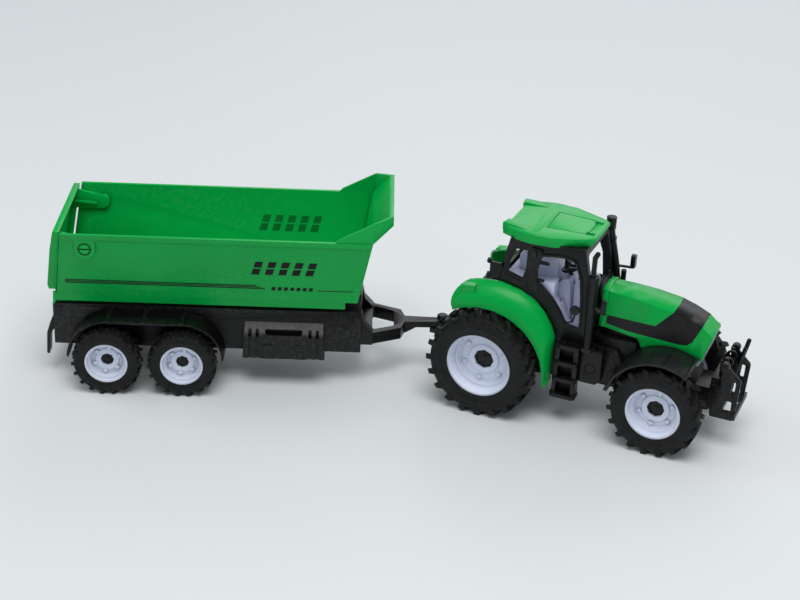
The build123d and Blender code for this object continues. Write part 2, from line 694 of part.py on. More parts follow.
def steps():
    """Near-side boarding steps: leaning side rails behind four treads with thick rounded lips."""
    rails = side_prism([(42.6, 50.1), (45.0, 50.1), (43.6, 17.4), (41.2, 17.4)], -28.2, -22.1)
    rails += side_prism([(53.4, 50.1), (56.2, 50.1), (55.6, 17.4), (53.0, 17.4)], -28.2, -22.1)
    back = side_prism([(43.0, 50.1), (55.6, 50.1), (55.0, 17.4), (41.8, 17.4)], -23.2, -22.1)
    body = rails + back
    lip_height = 2.4
    for i in range(4):
        z = 17.4 + 10.9 * i
        x = 40.4 + 0.075 * (z - 17.4)
        end = 57.2 if i == 3 else 56.2
        tread = block(x, end, -30.0, -22.1, z, z + lip_height)
        body += fillet(tread.edges().filter_by(Axis.Z).group_by(Axis.Y)[0], 2.8)
    body += block(44.0, 52.0, -22.2, -20.55, 44.0, 48.5)
    return body


def side_tank():
    """Near-side tank box with a pressed circle on its face."""
    box = side_prism([(56.4, 49.9), (69.4, 49.9), (69.4, 31.4), (66.4, 28.6), (56.4, 28.6)], -24.6, -17.6)
    box = fillet(box.edges().filter_by(Axis.Y), 0.8)
    mark = rod_y(62.6, 38.6, 3.4, -25, -24.25) - rod_y(62.6, 38.6, 3.0, -26, -24)
    return box - mark


def rear_marker():
    """Near-side lamp bracket behind the cab: a flat plate with two knobs on its rear edge."""
    outline = [(-3.4, 82.6), (-3.4, 92.5), (3.2, 92.5), (4.6, 91.0), (2.0, 83.4), (1.5, 82.6)]
    plate = side_prism(outline, -23.4, -22.05)
    for z in (83.8, 92.6):
        plate += Pos(-4.0, -23.0, z) * Sphere(1.5)
        plate += rod_z(-4.0, -23.0, 1.0, z - 1.0, z + 1.8)
    return plate


def front_linkage():
    """Black front hitch: a cross frame, two upright plates with windows, and lift hooks."""
    plate = [(133.0, 19.6), (132.4, 23.0), (137.0, 27.0), (137.0, 54.0), (138.4, 55.4)]
    plate += [(148.0, 46.4), (148.4, 44.8), (147.0, 20.6), (145.8, 19.6)]
    window_low = rounded([(139.7, 25.2), (144.6, 25.2), (144.6, 31.8), (139.7, 31.8)], 0.8)
    window_high = rounded([(143.0, 36.6), (145.4, 36.6), (145.6, 44.6), (143.6, 45.2)], 0.8)
    body = Part()
    for side in (-1, 1):
        y0, y1 = sorted((side * 10.8, side * 12.4))
        cheek = side_prism(plate, y0, y1)
        cheek -= side_prism(window_low, y0, y1) + side_prism(window_high, y0, y1)
        cheek += rod_y(138.4, 53.8, 2.6, *sorted((side * 10.8, side * 15.0)))
        body += cheek
        body += block(131.05, 138.0, *sorted((side * 6.0, side * 12.4)), 24.0, 40.0)
        rib = side_prism([(141.0, 30.0), (142.2, 44.0), (138.6, 56.4), (137.0, 56.4), (137.0, 30.0)],
                         *sorted((side * 6.6, side * 8.0)))
        body += rib
    body += block(136.6, 140.0, -12.4, 12.4, 24.0, 28.0)
    body += block(146.0, 148.2, -15.6, 15.6, 22.0, 25.0)
    body += block(131.05, 137.0, -10.9, 10.9, 26.0, 44.0)
    for y in (-4.6, 4.6):
        hook = rod_y(138.0, 52.6, 3.2, y - 0.9, y + 0.9) + block(134.0, 139.6, y - 0.9, y + 0.9, 38.0, 53.0)
        hook -= rod_y(138.4, 53.2, 1.7, y - 2, y + 2)
        body += hook
    arm = tube_path([(141.0, 12.0, 40.0), (145.4, 12.0, 60.6)], 1.3)
    arm += tube_path([(141.0, 9.0, 40.0), (144.4, 9.0, 56.6)], 1.2)
    body += arm
    return body


# ---- trailer ----
def trailer_chassis():
    """Open-bottomed box frame with a headboard, tip hinge lugs and the two-wheel mudguards."""
    y = CHASSIS_Y
    shell = block(-34, 150.8, -y, y, CHASSIS_BOTTOM, CHASSIS_TOP)
    shell -= block(-32.4, 149.0, -y + 1.6, y - 1.6, CHASSIS_BOTTOM - 1, CHASSIS_TOP - 1.6)
    shell += block(149.4, 150.8, -y + 1.2, y - 1.2, CHASSIS_TOP - 1, 60.5)
    for x in (0.0, TRAILER_WHEELBASE):
        hanger = block(x - 4, x + 4, -y + 0.3, y - 0.3, CHASSIS_BOTTOM - 5.4, 30)
        shell += hanger - block(x - 5, x + 5, -y + 3, y - 3, 10, 31)
    for side in (-1, 1):
        y0, y1 = sorted((side * (y - 0.6), side * (y + 15.1)))
        shell += mudguard_pair(y0, y1)
    for x in (0.0, TRAILER_WHEELBASE):
        shell -= rod_y(x, TRAILER_TYRE_R, TRAILER_AXLE_R + FIT, -30, 30)
    shell -= rod_y(TIP_X, TIP_Z, TIP_PIN_R, -30, 30)
    for side in (-1, 1):
        slot = sorted((side * EAR_SLOT_Y[0], side * EAR_SLOT_Y[1]))
        shell -= block(-36, -23.0, *slot, 41.5, CHASSIS_TOP + 1)
    for x in TRAILER_SCREW_X:
        shell += rod_z(x, 0, 3.2, 30.0, CHASSIS_TOP - 0.4) - rod_z(x, 0, SCREW_R, 20, 44)
    return shell


def mudguard_pair(y0, y1):
    """One wing over both trailer wheels: two round ends joined by a flat top."""
    z = TRAILER_TYRE_R
    outer_r, inner_r = 24.4, 23.2

    def hump(radius):
        ends = Pos(0, z) * Circle(radius) + Pos(TRAILER_WHEELBASE, z) * Circle(radius)
        middle = Pos(TRAILER_WHEELBASE / 2, z) * Rectangle(TRAILER_WHEELBASE, 2 * radius)
        return ends + middle

    above = Pos(TRAILER_WHEELBASE / 2, z + 30.4) * Rectangle(120, 60)
    wing = side_prism((hump(outer_r) - hump(inner_r)) & above, y0, y1)
    for x in (0.0, TRAILER_WHEELBASE / 2, TRAILER_WHEELBASE):
        rib = [(x - 2.0, z + outer_r - 0.1), (x - 1.0, z + outer_r + 0.9),
               (x + 1.0, z + outer_r + 0.9), (x + 2.0, z + outer_r - 0.1)]
        wing += side_prism(rib, y0, y1)
    return wing


def drawbar():
    """A-frame with a triangular window, a tapered tongue and the eye for the tow pin."""
    top = 34.0
    leg = [(150.85, -21.5), (158.0, -20.0), (175.0, -12.2), (177.5, -4.0), (194.0, -3.3)]
    outline = leg + [(x, -y) for x, y in reversed(leg)]
    window = rounded([(157.6, -15.4), (170.8, -9.6), (170.8, 9.6), (157.6, 15.4)], 1.2)
    body = plan_prism(outline, 26.4, top) - plan_prism(window, 20, 40)
    eye_clear = 30.1
    body -= block(184.5, 205, -10, 10, 20, eye_clear)
    body -= side_prism([(177.5, 26), (184.6, 30.2), (184.6, 20), (177.5, 20)], -10, 10)
    body += plan_prism(Pos(DRAWBAR_EYE_X, 0) * Circle(4.6), eye_clear, top)
    body += block(190, 198, -3.3, 3.3, eye_clear, top)
    for side in (-1, 1):
        y0, y1 = sorted((side * 14.0, side * 21.4))
        gusset = [(150.85, 26.4), (150.85, 47.0), (152.6, 40.0), (158.0, 34.0), (158.0, 26.4)]
        body += side_prism(gusset, y0, y1)
    return body - rod_z(DRAWBAR_EYE_X, 0, TOW_PIN_R + FIT, 20, 40)


def toolbox():
    """Near-side storage box with a sloping lid, ribbed ends, a recessed handle and two latches."""
    x0, x1 = 79.8, 129.4
    y0, y1 = -30.4, -23.55
    z0, z1 = 19.6, 34.6
    box = cross_prism([(y0, z0), (y0, z1), (y0 + 1.4, z1 + 2.0), (y1, 41.0), (y1, z0)], x0, x1)
    taper = [(x0 - 1, 10), (x0, z0), (x0 + 1.4, 42), (x0 - 1, 42)]
    box -= side_prism(taper, -40, -20) + side_prism([(x0 + x1 - x, z) for x, z in taper], -40, -20)
    for x in (x0 + 4.6, x0 + 9.0, x1 - 9.0, x1 - 4.6):
        box -= block(x - 1.0, x + 1.0, y0 - 1, y0 + 0.8, 10, z1 - 0.8)
        box -= block(x - 1.0, x + 1.0, y0 - 1, y0 + 3.2, z1 - 0.8, 45)
    handle = rounded([(x0 + 13, 38.0), (x1 - 13, 38.0), (x1 - 14.5, 35.2), (x0 + 14.5, 35.2)], 0.8)
    box -= side_prism(handle, y0 - 1, y0 + 4.4)
    for x in (x0 + 15.5, x1 - 15.5):
        box += block(x - 2.8, x + 2.8, y0 - 0.5, y0 + 0.1, z0 + 0.1, 29.0)
    return box


def rear_bumper():
    """Guard hanging behind the trailer chassis."""
    bar = side_prism([(-34.05, 36.0), (-36.6, 35.0), (-38.8, 28.0), (-39.6, 14.0), (-38.0, 13.4),
                      (-37.0, 27.0), (-34.05, 31.0)], -22.0, 22.0)
    return bar - side_prism([(-45, 25), (-30, 25), (-30, 10), (-45, 10)], -14.0, 14.0)


def trailer_screws():
    """Screws that hold the body's floor plate from below."""
    screws = []
    for x in TRAILER_SCREW_X:
        screw = rod_z(x, 0, 2.4, 28.6, 30.0) + rod_z(x, 0, SCREW_R, 30.0, 43.5)
        screw -= block(x - 1.6, x + 1.6, -0.3, 0.3, 28.6, 29.2)
        screw -= block(x - 0.3, x + 0.3, -1.6, 1.6, 28.6, 29.2)
        screws.append(screw)
    return Compound(children=screws)


def tip_hinge_pin():
    """Steel rod through the chassis walls and the ears of the dump box."""
    return rod_y(TIP_X, TIP_Z, TIP_PIN_R, -CHASSIS_Y - 0.4, CHASSIS_Y + 0.4)


def wall_y(z):
    """Outer half width of the dump box at height z."""
    slope = (BOX_RIM_Y - BOX_FLOOR_Y) / (BOX_RIM_Z - BOX_CREASE_Z)
    return BOX_FLOOR_Y + (z - BOX_CREASE_Z) * slope


def rear_edge_x(z):
    """Leaning rear edge of the dump box's side walls."""
    return -31.0 + (z - 52.0) * 6.7 / (BOX_RIM_Z - 52.0)


def trough_section(inset, floor):
    """Symmetric cross-section of the tub from the floor to above the rim."""
    top = 120.0
    half = [(wall_y(floor) - inset, floor), (wall_y(top) - inset, top)]
    return [(-y, z) for y, z in reversed(half)] + half


def dump_box():
    """Tub with sloping sides, a skirt, a rim band, a forward-leaning spoiler and hinge ears."""
    floor = BOX_CREASE_Z
    side = [(rear_edge_x(floor - 1.5), floor - 1.5), (rear_edge_x(BOX_RIM_Z), BOX_RIM_Z)]
    side += [(134.8, BOX_RIM_Z), (136.6, 103.6), (157.0, 114.3), (168.1, 116.5), (168.1, 110.6)]
    side += [(156.6, BOX_RIM_Z), (148.9, floor + 1.5), (148.2, floor - 1.5)]
    plan = [(-40, -45), (135, -45), (157.0, -38.4), (168.1, -31.2)]
    plan += [(x, -y) for x, y in reversed(plan)]
    lean = cross_prism(trough_section(0.0, floor - 1.5), -40, 170)
    lean = common(lean, block(-40, 170, -BOX_RIM_Y, BOX_RIM_Y, 50, 120))
    outer = common(side_prism(side, -60, 60), lean, plan_prism(plan, 50, 120))
    inner_side = [(-60, floor), (-60, 140), (170, 140), (167.0, 118.0), (154.9, BOX_RIM_Z), (147.6, floor)]
    inner_plan = [(-60, -60), (134, -60), (156.4, -36.9), (166.6, -30.2)]
    inner_plan += [(x, -y) for x, y in reversed(inner_plan)]
    inner_lean = cross_prism(trough_section(BOX_WALL, floor), -60, 170)
    inner_half = BOX_RIM_Y - BOX_WALL
    inner_lean = common(inner_lean, block(-60, 170, -inner_half, inner_half, 50, 140))
    inner = common(side_prism(inner_side, -60, 60), inner_lean, plan_prism(inner_plan, 50, 140))
    body = outer - inner
    skirt = [(25.2, 52.0), (26.7, floor - 1.0), (25.2, floor - 1.0), (23.9, 52.0)]
    band_low = 97.6
    band = [(wall_y(band_low), band_low), (wall_y(band_low) + 0.7, band_low + 0.6)]
    band += [(BOX_RIM_Y + 0.5, BOX_RIM_Z), (BOX_RIM_Y - 0.2, BOX_RIM_Z)]
    for sign in (-1, 1):
        body += cross_prism([(sign * y, z) for y, z in skirt], -31.4, 141.0)
        corner = [(-31.4, 52.0), (-31.4, 57.5), (-33.0, 57.5), (-33.4, 48.0)]
        body += side_prism(corner, *sorted((sign * 23.9, sign * 25.4)))
        body += cross_prism([(sign * y, z) for y, z in band], rear_edge_x(100.0), 155.4)
        body += ear(sign)
        body += gate_boss(sign)
    sill = block(-20, 138, -20, 20, CHASSIS_TOP + 0.4, floor - 1.0)
    body += sill - block(-22, 140, -18.5, 18.5, 40, floor - 1.0)
    for sign in (-1, 1):
        bore = rod_y(TIP_X, TIP_Z, TIP_PIN_R + FIT, *sorted((sign * 15, sign * 23)))
        body -= bore
        body -= rod_y(GATE_X, GATE_Z, GATE_PIN_R + FIT, *sorted((sign * 30, sign * 45)))
    return body


def ear(sign):
    """Hinge ear that reaches down through a slot in the chassis top."""
    y0, y1 = sorted((sign * 17.6, sign * 20.4))
    shape = [(-32.6, 57.4), (-25.2, 57.4), (-26.6, 45.6), (-28.0, 43.8), (-31.0, 43.8), (-32.0, 45.6)]
    return side_prism(shape, y0, y1)


def gate_boss(sign):
    """U-shaped boss round the tailgate pin, standing a little proud of the wall."""
    y0, y1 = sorted((sign * 34.2, sign * 38.0))
    pad = rod_y(GATE_X, GATE_Z, GATE_BOSS_R, y0, y1)
    pad += block(GATE_X - GATE_BOSS_R, GATE_X + GATE_BOSS_R, y0, y1, GATE_Z, 99.0)
    wall = [(sign * (wall_y(z) - 0.9), z) for z in (80, 105)]
    outside = cross_prism(wall + [(sign * 60, 105), (sign * 60, 80)], -60, 60)
    return common(pad, outside)


def tailgate():
    """Rear door with a deep rim, two side arms and slotted hinge pins at their ends."""
    gap = 0.8
    z_low, z_top = 59.2, BOX_RIM_Z
    outer = [(-35.4, z_low), (-35.9, 62.7), (-31.8, 88.8), (-28.9, z_top)]
    front = [(rear_edge_x(z_top) - gap, z_top), (rear_edge_x(z_low) - gap, z_low)]
    slab = side_prism(outer + front, -50, 50)
    width = gate_section(0.0, 50, 110)
    pocket = side_prism([(-34.2, z_low + 1.6), (-34.5, 62.9), (-30.4, 88.6), (-27.7, z_top - 1.8),
                         (-20, z_top - 1.8), (-20, z_low + 1.6)], -50, 50)
    body = common(slab, width) - common(pocket, gate_section(1.6, 50, 110))
    arm = [(-27.9, 99.6), (-26.0, 99.9), (GATE_X, GATE_Z + 4.2), (GATE_X + 3.6, GATE_Z + 2.0)]
    arm += [(GATE_X + 3.6, GATE_Z - 2.0), (GATE_X, GATE_Z - 4.2), (-27.0, 87.8), (-30.2, 87.8)]
    for sign in (-1, 1):
        y0, y1 = sorted((sign * 30.4, sign * 32.2))
        body += side_prism(arm, y0, y1)
        y0, y1 = sorted((sign * 28.2, sign * 30.5))
        body += side_prism([(-28.8, 93.4), (-14.0, 92.6), (-14.0, 91.4), (-28.8, 92.0)], y0, y1)
        y0, y1 = sorted((sign * 30.4, sign * 38.2))
        pin = rod_y(GATE_X, GATE_Z, GATE_PIN_R, y0, y1)
        y0, y1 = sorted((sign * 35.4, sign * 40.0))
        body += pin - block(GATE_X - 4, GATE_X + 4, y0, y1, GATE_Z - 0.45, GATE_Z + 0.45)
    return body


def gate_section(inset, z0, z1):
    """Symmetric tailgate width, clear of the tub's walls."""
    clear = 0.8 + BOX_WALL + inset
    half = [(wall_y(z0) - clear, z0), (wall_y(z1) - clear, z1)]
    return cross_prism([(-y, z) for y, z in reversed(half)] + half, -60, 0)


# ---- assembly ----
def tractor():
    pieces = {
        "chassis": chassis(),
        "belly_plate": belly_plate(),
        "belly_screws": belly_screws(),
        "tow_pin": tow_pin(),
        "hood": hood(),
        "headlamp_lens": headlamp_lens(),
        "cab_frame": cab_frame(),
        "roof": roof(),
        "seat_tub": interior(),
        "steering_column": steering_column(),
        "steering_wheel": steering_wheel(),
        "exhaust_stack": exhaust_stack(),
        "air_intake": air_intake(),
        "mirror_right": near_mirror(),
        "mirror_left": far_mirror(),
        "front_linkage": front_linkage(),
        "grab_bars": both_sides(stay_bar()),
        "rear_markers": both_sides(rear_marker()),
    }
    paired = {
        "rear_mudguard": rear_mudguard(),
        "front_mudguard": front_mudguard(),
        "steps": steps(),
        "side_tank": side_tank(),
    }
    for name, part in paired.items():
        pieces[name + "_right"] = part
        pieces[name + "_left"] = mirrored(part)
    rear = (REAR_TYRE_R, REAR_RIM_R, REAR_FACE_Y, REAR_TYRE_WIDTH, REAR_RIM_Y, REAR_CAP_Y)
    front = (FRONT_TYRE_R, FRONT_RIM_R, FRONT_FACE_Y, FRONT_TYRE_WIDTH, FRONT_RIM_Y, FRONT_CAP_Y)
    wheel_set("rear", rear + (REAR_CAP_R, AXLE_R, REAR_LUGS, 2.2), 0.0, pieces)
    wheel_set("front", front + (FRONT_CAP_R, AXLE_R, FRONT_LUGS, 1.9), FRONT_AXLE_X, pieces)
    return pieces


def trailer():
    pieces = {
        "trailer_chassis": trailer_chassis(),
        "drawbar": drawbar(),
        "toolbox_right": toolbox(),
        "toolbox_left": mirrored(toolbox()),
        "rear_bumper": rear_bumper(),
        "trailer_screws": trailer_screws(),
        "tip_hinge_pin": tip_hinge_pin(),
        "dump_box": dump_box(),
        "tailgate": tailgate(),
    }
    wheel = (TRAILER_TYRE_R, TRAILER_RIM_R, TRAILER_FACE_Y, TRAILER_TYRE_WIDTH, TRAILER_RIM_Y, TRAILER_CAP_Y)
    wheel += (TRAILER_CAP_R, TRAILER_AXLE_R, TRAILER_LUGS, 1.2)
    wheel_set("trailer_rear", wheel, 0.0, pieces)
    wheel_set("trailer_front", wheel, TRAILER_WHEELBASE, pieces)
    return pieces


def assemble():
    """Every piece in one frame, with the origin under the middle of the footprint."""
    pieces = tractor()
    hitch = Pos(HITCH_X, 0, 0) * Rot(0, 0, REST_YAW) * Pos(-DRAWBAR_EYE_X, 0, 0)
    for name, part in trailer().items():
        pieces[name] = hitch * part
    boxes = [part.bounding_box() for part in pieces.values()]
    x = (min(b.min.X for b in boxes) + max(b.max.X for b in boxes)) / 2
    y = (min(b.min.Y for b in boxes) + max(b.max.Y for b in boxes)) / 2
    print("tractor frame in the row frame:", round(-x, 4), round(-y, 4))
    return {name: Pos(-x, -y, 0) * part for name, part in pieces.items()}


os.makedirs("parts", exist_ok=True)
for node, solid in assemble().items():
    export_step(solid, os.path.join("parts", node + ".step"))
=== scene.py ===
import json
import math
import random

import bmesh
import bpy
from mathutils import Matrix, Vector
from mathutils.bvhtree import BVHTree


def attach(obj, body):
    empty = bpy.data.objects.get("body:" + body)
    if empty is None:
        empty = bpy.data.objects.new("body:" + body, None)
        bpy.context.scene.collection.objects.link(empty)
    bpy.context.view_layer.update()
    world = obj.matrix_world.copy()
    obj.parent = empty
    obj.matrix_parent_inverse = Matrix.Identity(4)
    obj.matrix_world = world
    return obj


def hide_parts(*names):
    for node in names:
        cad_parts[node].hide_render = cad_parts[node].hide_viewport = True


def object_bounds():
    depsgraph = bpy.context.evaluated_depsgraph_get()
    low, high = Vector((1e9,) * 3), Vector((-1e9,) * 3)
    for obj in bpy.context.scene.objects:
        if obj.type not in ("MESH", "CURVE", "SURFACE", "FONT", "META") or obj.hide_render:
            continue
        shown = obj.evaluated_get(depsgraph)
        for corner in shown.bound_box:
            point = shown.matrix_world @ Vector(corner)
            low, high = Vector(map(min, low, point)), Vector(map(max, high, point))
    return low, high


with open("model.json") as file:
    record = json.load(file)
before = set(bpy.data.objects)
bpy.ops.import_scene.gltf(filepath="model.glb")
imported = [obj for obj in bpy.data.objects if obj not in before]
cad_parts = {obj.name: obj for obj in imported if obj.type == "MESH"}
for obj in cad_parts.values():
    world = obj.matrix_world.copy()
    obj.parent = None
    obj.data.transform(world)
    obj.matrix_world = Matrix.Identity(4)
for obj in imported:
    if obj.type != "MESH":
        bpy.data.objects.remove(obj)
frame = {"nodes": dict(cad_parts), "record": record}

# Toy tractor with a tipping trailer, in metres. Hard parts keep their CAD meshes and get
# rounded edges and materials. Tyres, printed marks and dark rings of painted shade for the gaps
# round the tailgate pins are built here as meshes.

CAD_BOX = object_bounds()
MM = 0.001
rng = random.Random(7)
# painted shade: how far the colour is darkened in corners and gaps
PAINTED_SHADE_AMOUNT = 0.45


# ---------------------------------------------------------------- materials
def srgb(r, g, b):
    """Display colour (0-255) as linear RGBA."""
    def lin(v):
        v /= 255
        return v / 12.92 if v <= 0.04045 else ((v + 0.055) / 1.055) ** 2.4
    return (lin(r), lin(g), lin(b), 1.0)


class Shader:
    """Small helper for writing node materials."""

    def __init__(self, name):
        self.mat = bpy.data.materials.new(name)
        self.mat.use_nodes = True
        self.nodes = self.mat.node_tree.nodes
        self.links = self.mat.node_tree.links
        self.bsdf = self.nodes["Principled BSDF"]
        coords = self.nodes.new("ShaderNodeTexCoord")
        self.coord = coords.outputs["Object"]

    def link(self, a, b):
        self.links.new(a, b)

    def noise(self, scale, detail=3.0, rough=0.5):
        n = self.nodes.new("ShaderNodeTexNoise")
        n.inputs["Scale"].default_value = scale
        n.inputs["Detail"].default_value = detail
        n.inputs["Roughness"].default_value = rough
        self.link(self.coord, n.inputs["Vector"])
        return n.outputs["Fac"]

    def remap(self, value, lo, hi, a, b):
        m = self.nodes.new("ShaderNodeMapRange")
        m.inputs["From Min"].default_value = lo
        m.inputs["From Max"].default_value = hi
        m.inputs["To Min"].default_value = a
        m.inputs["To Max"].default_value = b
        self.link(value, m.inputs["Value"])
        return m.outputs["Result"]

    def math(self, op, a, b=0.0):
        m = self.nodes.new("ShaderNodeMath")
        m.operation = op
        for slot, v in zip(m.inputs, (a, b)):
            if isinstance(v, (int, float)):
                slot.default_value = v
            else:
                self.link(v, slot)
        return m.outputs[0]

    def mix(self, fac, a, b):
        m = self.nodes.new("ShaderNodeMix")
        m.data_type = "RGBA"
        self.put(fac, m.inputs["Factor"])
        self.put(a, m.inputs[6])
        self.put(b, m.inputs[7])
        return m.outputs[2]

    def put(self, value, slot):
        if isinstance(value, (int, float, tuple)):
            slot.default_value = value
        else:
            self.link(value, slot)

    def edge(self, lo=0.52, hi=0.60):
        """1 on convex edges, 0 elsewhere."""
        g = self.nodes.new("ShaderNodeNewGeometry")
        return self.remap(g.outputs["Pointiness"], lo, hi, 0.0, 1.0)

    def painted_corner_shade(self, colour, amount, reach=2.2):
        """Painted shade: darkens a colour in corners and gaps, within a reach in mm."""
        near = self.nodes.new("ShaderNodeAmbientOcclusion")
        near.samples = 6
        near.inputs["Distance"].default_value = reach * MM
        shade = self.remap(near.outputs["AO"], 0.35, 1.0, 1.0 - amount, 1.0)
        return self.mix(shade, (0.0, 0.0, 0.0, 1.0), colour)

    def bump(self, height, distance, strength=1.0):
        b = self.nodes.new("ShaderNodeBump")
        b.inputs["Distance"].default_value = distance
        b.inputs["Strength"].default_value = strength
        self.link(height, b.inputs["Height"])
        self.link(b.outputs["Normal"], self.bsdf.inputs["Normal"])


def plastic_shader(name, colour, rough, grain=9000.0, grain_mm=0.004, wear=0.10, tint=0.05, coat=0.0,
                   through=0.0, shine=0.5, wave=3.0):
    """Moulded plastic: slow colour drift, flow marks in the gloss, fine skin grain, pale rubbed edges,
    painted shade in corners and gaps.
    """
    s = Shader(name)
    drift = s.remap(s.noise(35.0, 2.0), 0.3, 0.7, 1.0 - tint, 1.0 + tint)
    dark = tuple(c * (1 - tint) for c in colour[:3]) + (1.0,)
    light = tuple(min(1.0, c * (1 + tint)) for c in colour[:3]) + (1.0,)
    base = s.mix(s.remap(drift, 1.0 - tint, 1.0 + tint, 0.0, 1.0), dark, light)
    pale = tuple(c * 0.6 + 0.4 * 0.5 for c in colour[:3]) + (1.0,)
    rub = s.math("MULTIPLY", s.edge(), s.remap(s.noise(420.0, 4.0), 0.45, 0.75, 0.0, wear))
    # the base colour carries painted shade in corners and gaps
    s.link(s.painted_corner_shade(s.mix(rub, base, pale), PAINTED_SHADE_AMOUNT), s.bsdf.inputs["Base Color"])
    flow = s.remap(s.noise(90.0, 4.0, 0.6), 0.25, 0.75, rough * 0.88, rough * 1.12)
    scuff = s.remap(s.noise(700.0, 5.0, 0.7), 0.62, 0.78, 0.0, 0.025)
    s.link(s.math("ADD", flow, scuff), s.bsdf.inputs["Roughness"])
    s.bsdf.inputs["IOR"].default_value = 1.5
    s.bsdf.inputs["Specular IOR Level"].default_value = shine
    s.bsdf.inputs["Coat Weight"].default_value = coat
    s.bsdf.inputs["Coat Roughness"].default_value = rough * 0.5
    if through:
        s.bsdf.inputs["Subsurface Weight"].default_value = through
        s.bsdf.inputs["Subsurface Radius"].default_value = tuple(0.3 + c for c in colour[:3])
        s.bsdf.inputs["Subsurface Scale"].default_value = 1.2 * MM
    skin = s.math("ADD", s.noise(grain, 2.0), s.math("MULTIPLY", s.noise(160.0, 2.0), wave))
    s.bump(skin, grain_mm * MM * 10)
    return s


def plastic(name, colour, rough, **look):
    return plastic_shader(name, colour, rough, **look).mat


def rubber(name):
    """Soft vinyl tyre: dusty, slightly mottled, matt with polished lug tops."""
    s = Shader(name)
    dust = s.remap(s.noise(260.0, 6.0, 0.65), 0.45, 0.72, 0.0, 1.0)
    base = s.mix(dust, srgb(14, 14, 15), srgb(23, 23, 24))
    rub = s.math("MULTIPLY", s.edge(0.53, 0.62), s.remap(s.noise(900.0, 3.0), 0.4, 0.7, 0.0, 0.35))
    s.link(s.mix(rub, base, srgb(58, 58, 58)), s.bsdf.inputs["Base Color"])
    s.link(s.remap(s.noise(150.0, 4.0), 0.3, 0.7, 0.42, 0.62), s.bsdf.inputs["Roughness"])
    s.bsdf.inputs["Specular IOR Level"].default_value = 0.3
    s.bump(s.math("ADD", s.noise(3800.0, 3.0), s.math("MULTIPLY", s.noise(420.0, 3.0), 1.5)), 0.00006)
    return s.mat


def steel(name):
    s = Shader(name)
    s.bsdf.inputs["Metallic"].default_value = 1.0
    s.link(s.mix(s.noise(300.0, 4.0), srgb(165, 165, 168), srgb(205, 205, 208)), s.bsdf.inputs["Base Color"])
    s.link(s.remap(s.noise(1500.0, 2.0), 0.3, 0.7, 0.22, 0.42), s.bsdf.inputs["Roughness"])
    s.bump(s.noise(2500.0, 2.0), 0.00001)
    return s.mat


GREEN_COLOUR = srgb(0, 164, 70)
GREEN_LOOK = {"tint": 0.04, "wear": 0.08, "coat": 0.03, "through": 0.12, "shine": 0.2}
DARK_LOOK = {"grain": 6000.0, "grain_mm": 0.004, "wear": 0.12, "tint": 0.06, "wave": 1.0}

GREEN = plastic("green_plastic", GREEN_COLOUR, 0.22, **GREEN_LOOK)
BLACK = plastic("black_plastic", srgb(8, 8, 9), 0.36, shine=0.35, **DARK_LOOK)
CHARCOAL = plastic("charcoal_plastic", srgb(21, 22, 24), 0.38, shine=0.45, **DARK_LOOK)
WHEEL = plastic("wheel_plastic", srgb(220, 226, 243), 0.30, wear=0.05, tint=0.02, through=0.25)
SEAT = plastic("seat_plastic", srgb(202, 208, 236), 0.34, wear=0.05, tint=0.02, through=0.3)
LENS = plastic("lens_plastic", srgb(205, 208, 225), 0.15, wear=0.02, tint=0.03, coat=0.6, through=0.4)
PRINT = plastic("printed_black", srgb(9, 8, 11), 0.34, wear=0.0, tint=0.1, shine=0.2)
GHOST = plastic("print_seen_through", srgb(2, 105, 42), 0.26, wear=0.0, tint=0.05)
RUBBER = rubber("tyre_rubber")
STEEL = steel("steel")
# painted shade: dark green ring standing for the shadow in the gap round each tailgate pin
PAINTED_PIN_GAP_SHADE = plastic("pin_gap_shade_painted", srgb(0, 52, 20), 0.35, wear=0.0, tint=0.1, shine=0.2)
FINISH = {
    "green_plastic": GREEN,
    "black_plastic": BLACK,
    "charcoal_plastic": CHARCOAL,
    "wheel_plastic": WHEEL,
    "seat_plastic": SEAT,
    "lens_plastic": LENS,
    "tyre_rubber": RUBBER,
    "steel": STEEL,
}


# ---------------------------------------------------------------- carried-over CAD nodes
SHARP = math.radians(28)
EDGE_ROUND = {"roof": 0.5, "dump_box": 0.3, "tailgate": 0.3, "hood": 0.35}  # mm
PLAIN_EDGE_ROUND = 0.22  # mm, on every other node
WELD_DISTANCE = 0.002 * MM
FLAT_ANGLE = math.radians(0.4)
CRISP = ("_rim_", "toolbox")  # nodes whose edges are split instead of rounded


def dress(node, material, width):
    """Sets the material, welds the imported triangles, and rounds or splits the sharp edges."""
    obj = frame["nodes"][node]
    obj.data.materials.clear()
    obj.data.materials.append(material)
    obj.data.shade_smooth()
    weld = obj.modifiers.new("weld", "WELD")
    weld.merge_threshold = WELD_DISTANCE
    if any(word in node for word in CRISP):
        split = obj.modifiers.new("split", "EDGE_SPLIT")
        split.split_angle = SHARP
        return obj
    flat = obj.modifiers.new("flat", "DECIMATE")
    flat.decimate_type = "DISSOLVE"
    flat.angle_limit = FLAT_ANGLE
    bevel = obj.modifiers.new("bevel", "BEVEL")
    bevel.width = width * MM
    bevel.segments = 2
    bevel.limit_method = "ANGLE"
    bevel.angle_limit = SHARP
    bevel.harden_normals = True
    bevel.use_clamp_overlap = True
    return obj


slots = {p["node"]: p["material_slot"] for p in frame["record"]["subparts"]}
for node in sorted(frame["nodes"]):
    if "_tyre_" in node:
        continue
    material = BLACK if node == "tip_hinge_pin" else FINISH[slots[node]]
    dress(node, material, EDGE_ROUND.get(node, PLAIN_EDGE_ROUND))


# ---------------------------------------------------------------- frames taken from the joints
JOINTS = {j["name"]: j for j in frame["record"]["behaviour"]["joints"]}


def joint_frame(name):
    """Row-frame matrix at a hinge: Y along its axis, Z up."""
    joint = JOINTS[name]
    y = Vector(joint["axis"]).normalized()
    z = Vector((0, 0, 1))
    x = y.cross(z)
    m = Matrix((x, y, z)).transposed().to_4x4()
    m.translation = Vector(joint["pos_m"])
    return m


def ground_frame(name):
    """The same frame moved straight down to the ground."""
    m = joint_frame(name)
    return m @ Matrix.Translation((0, 0, -m.translation.z))


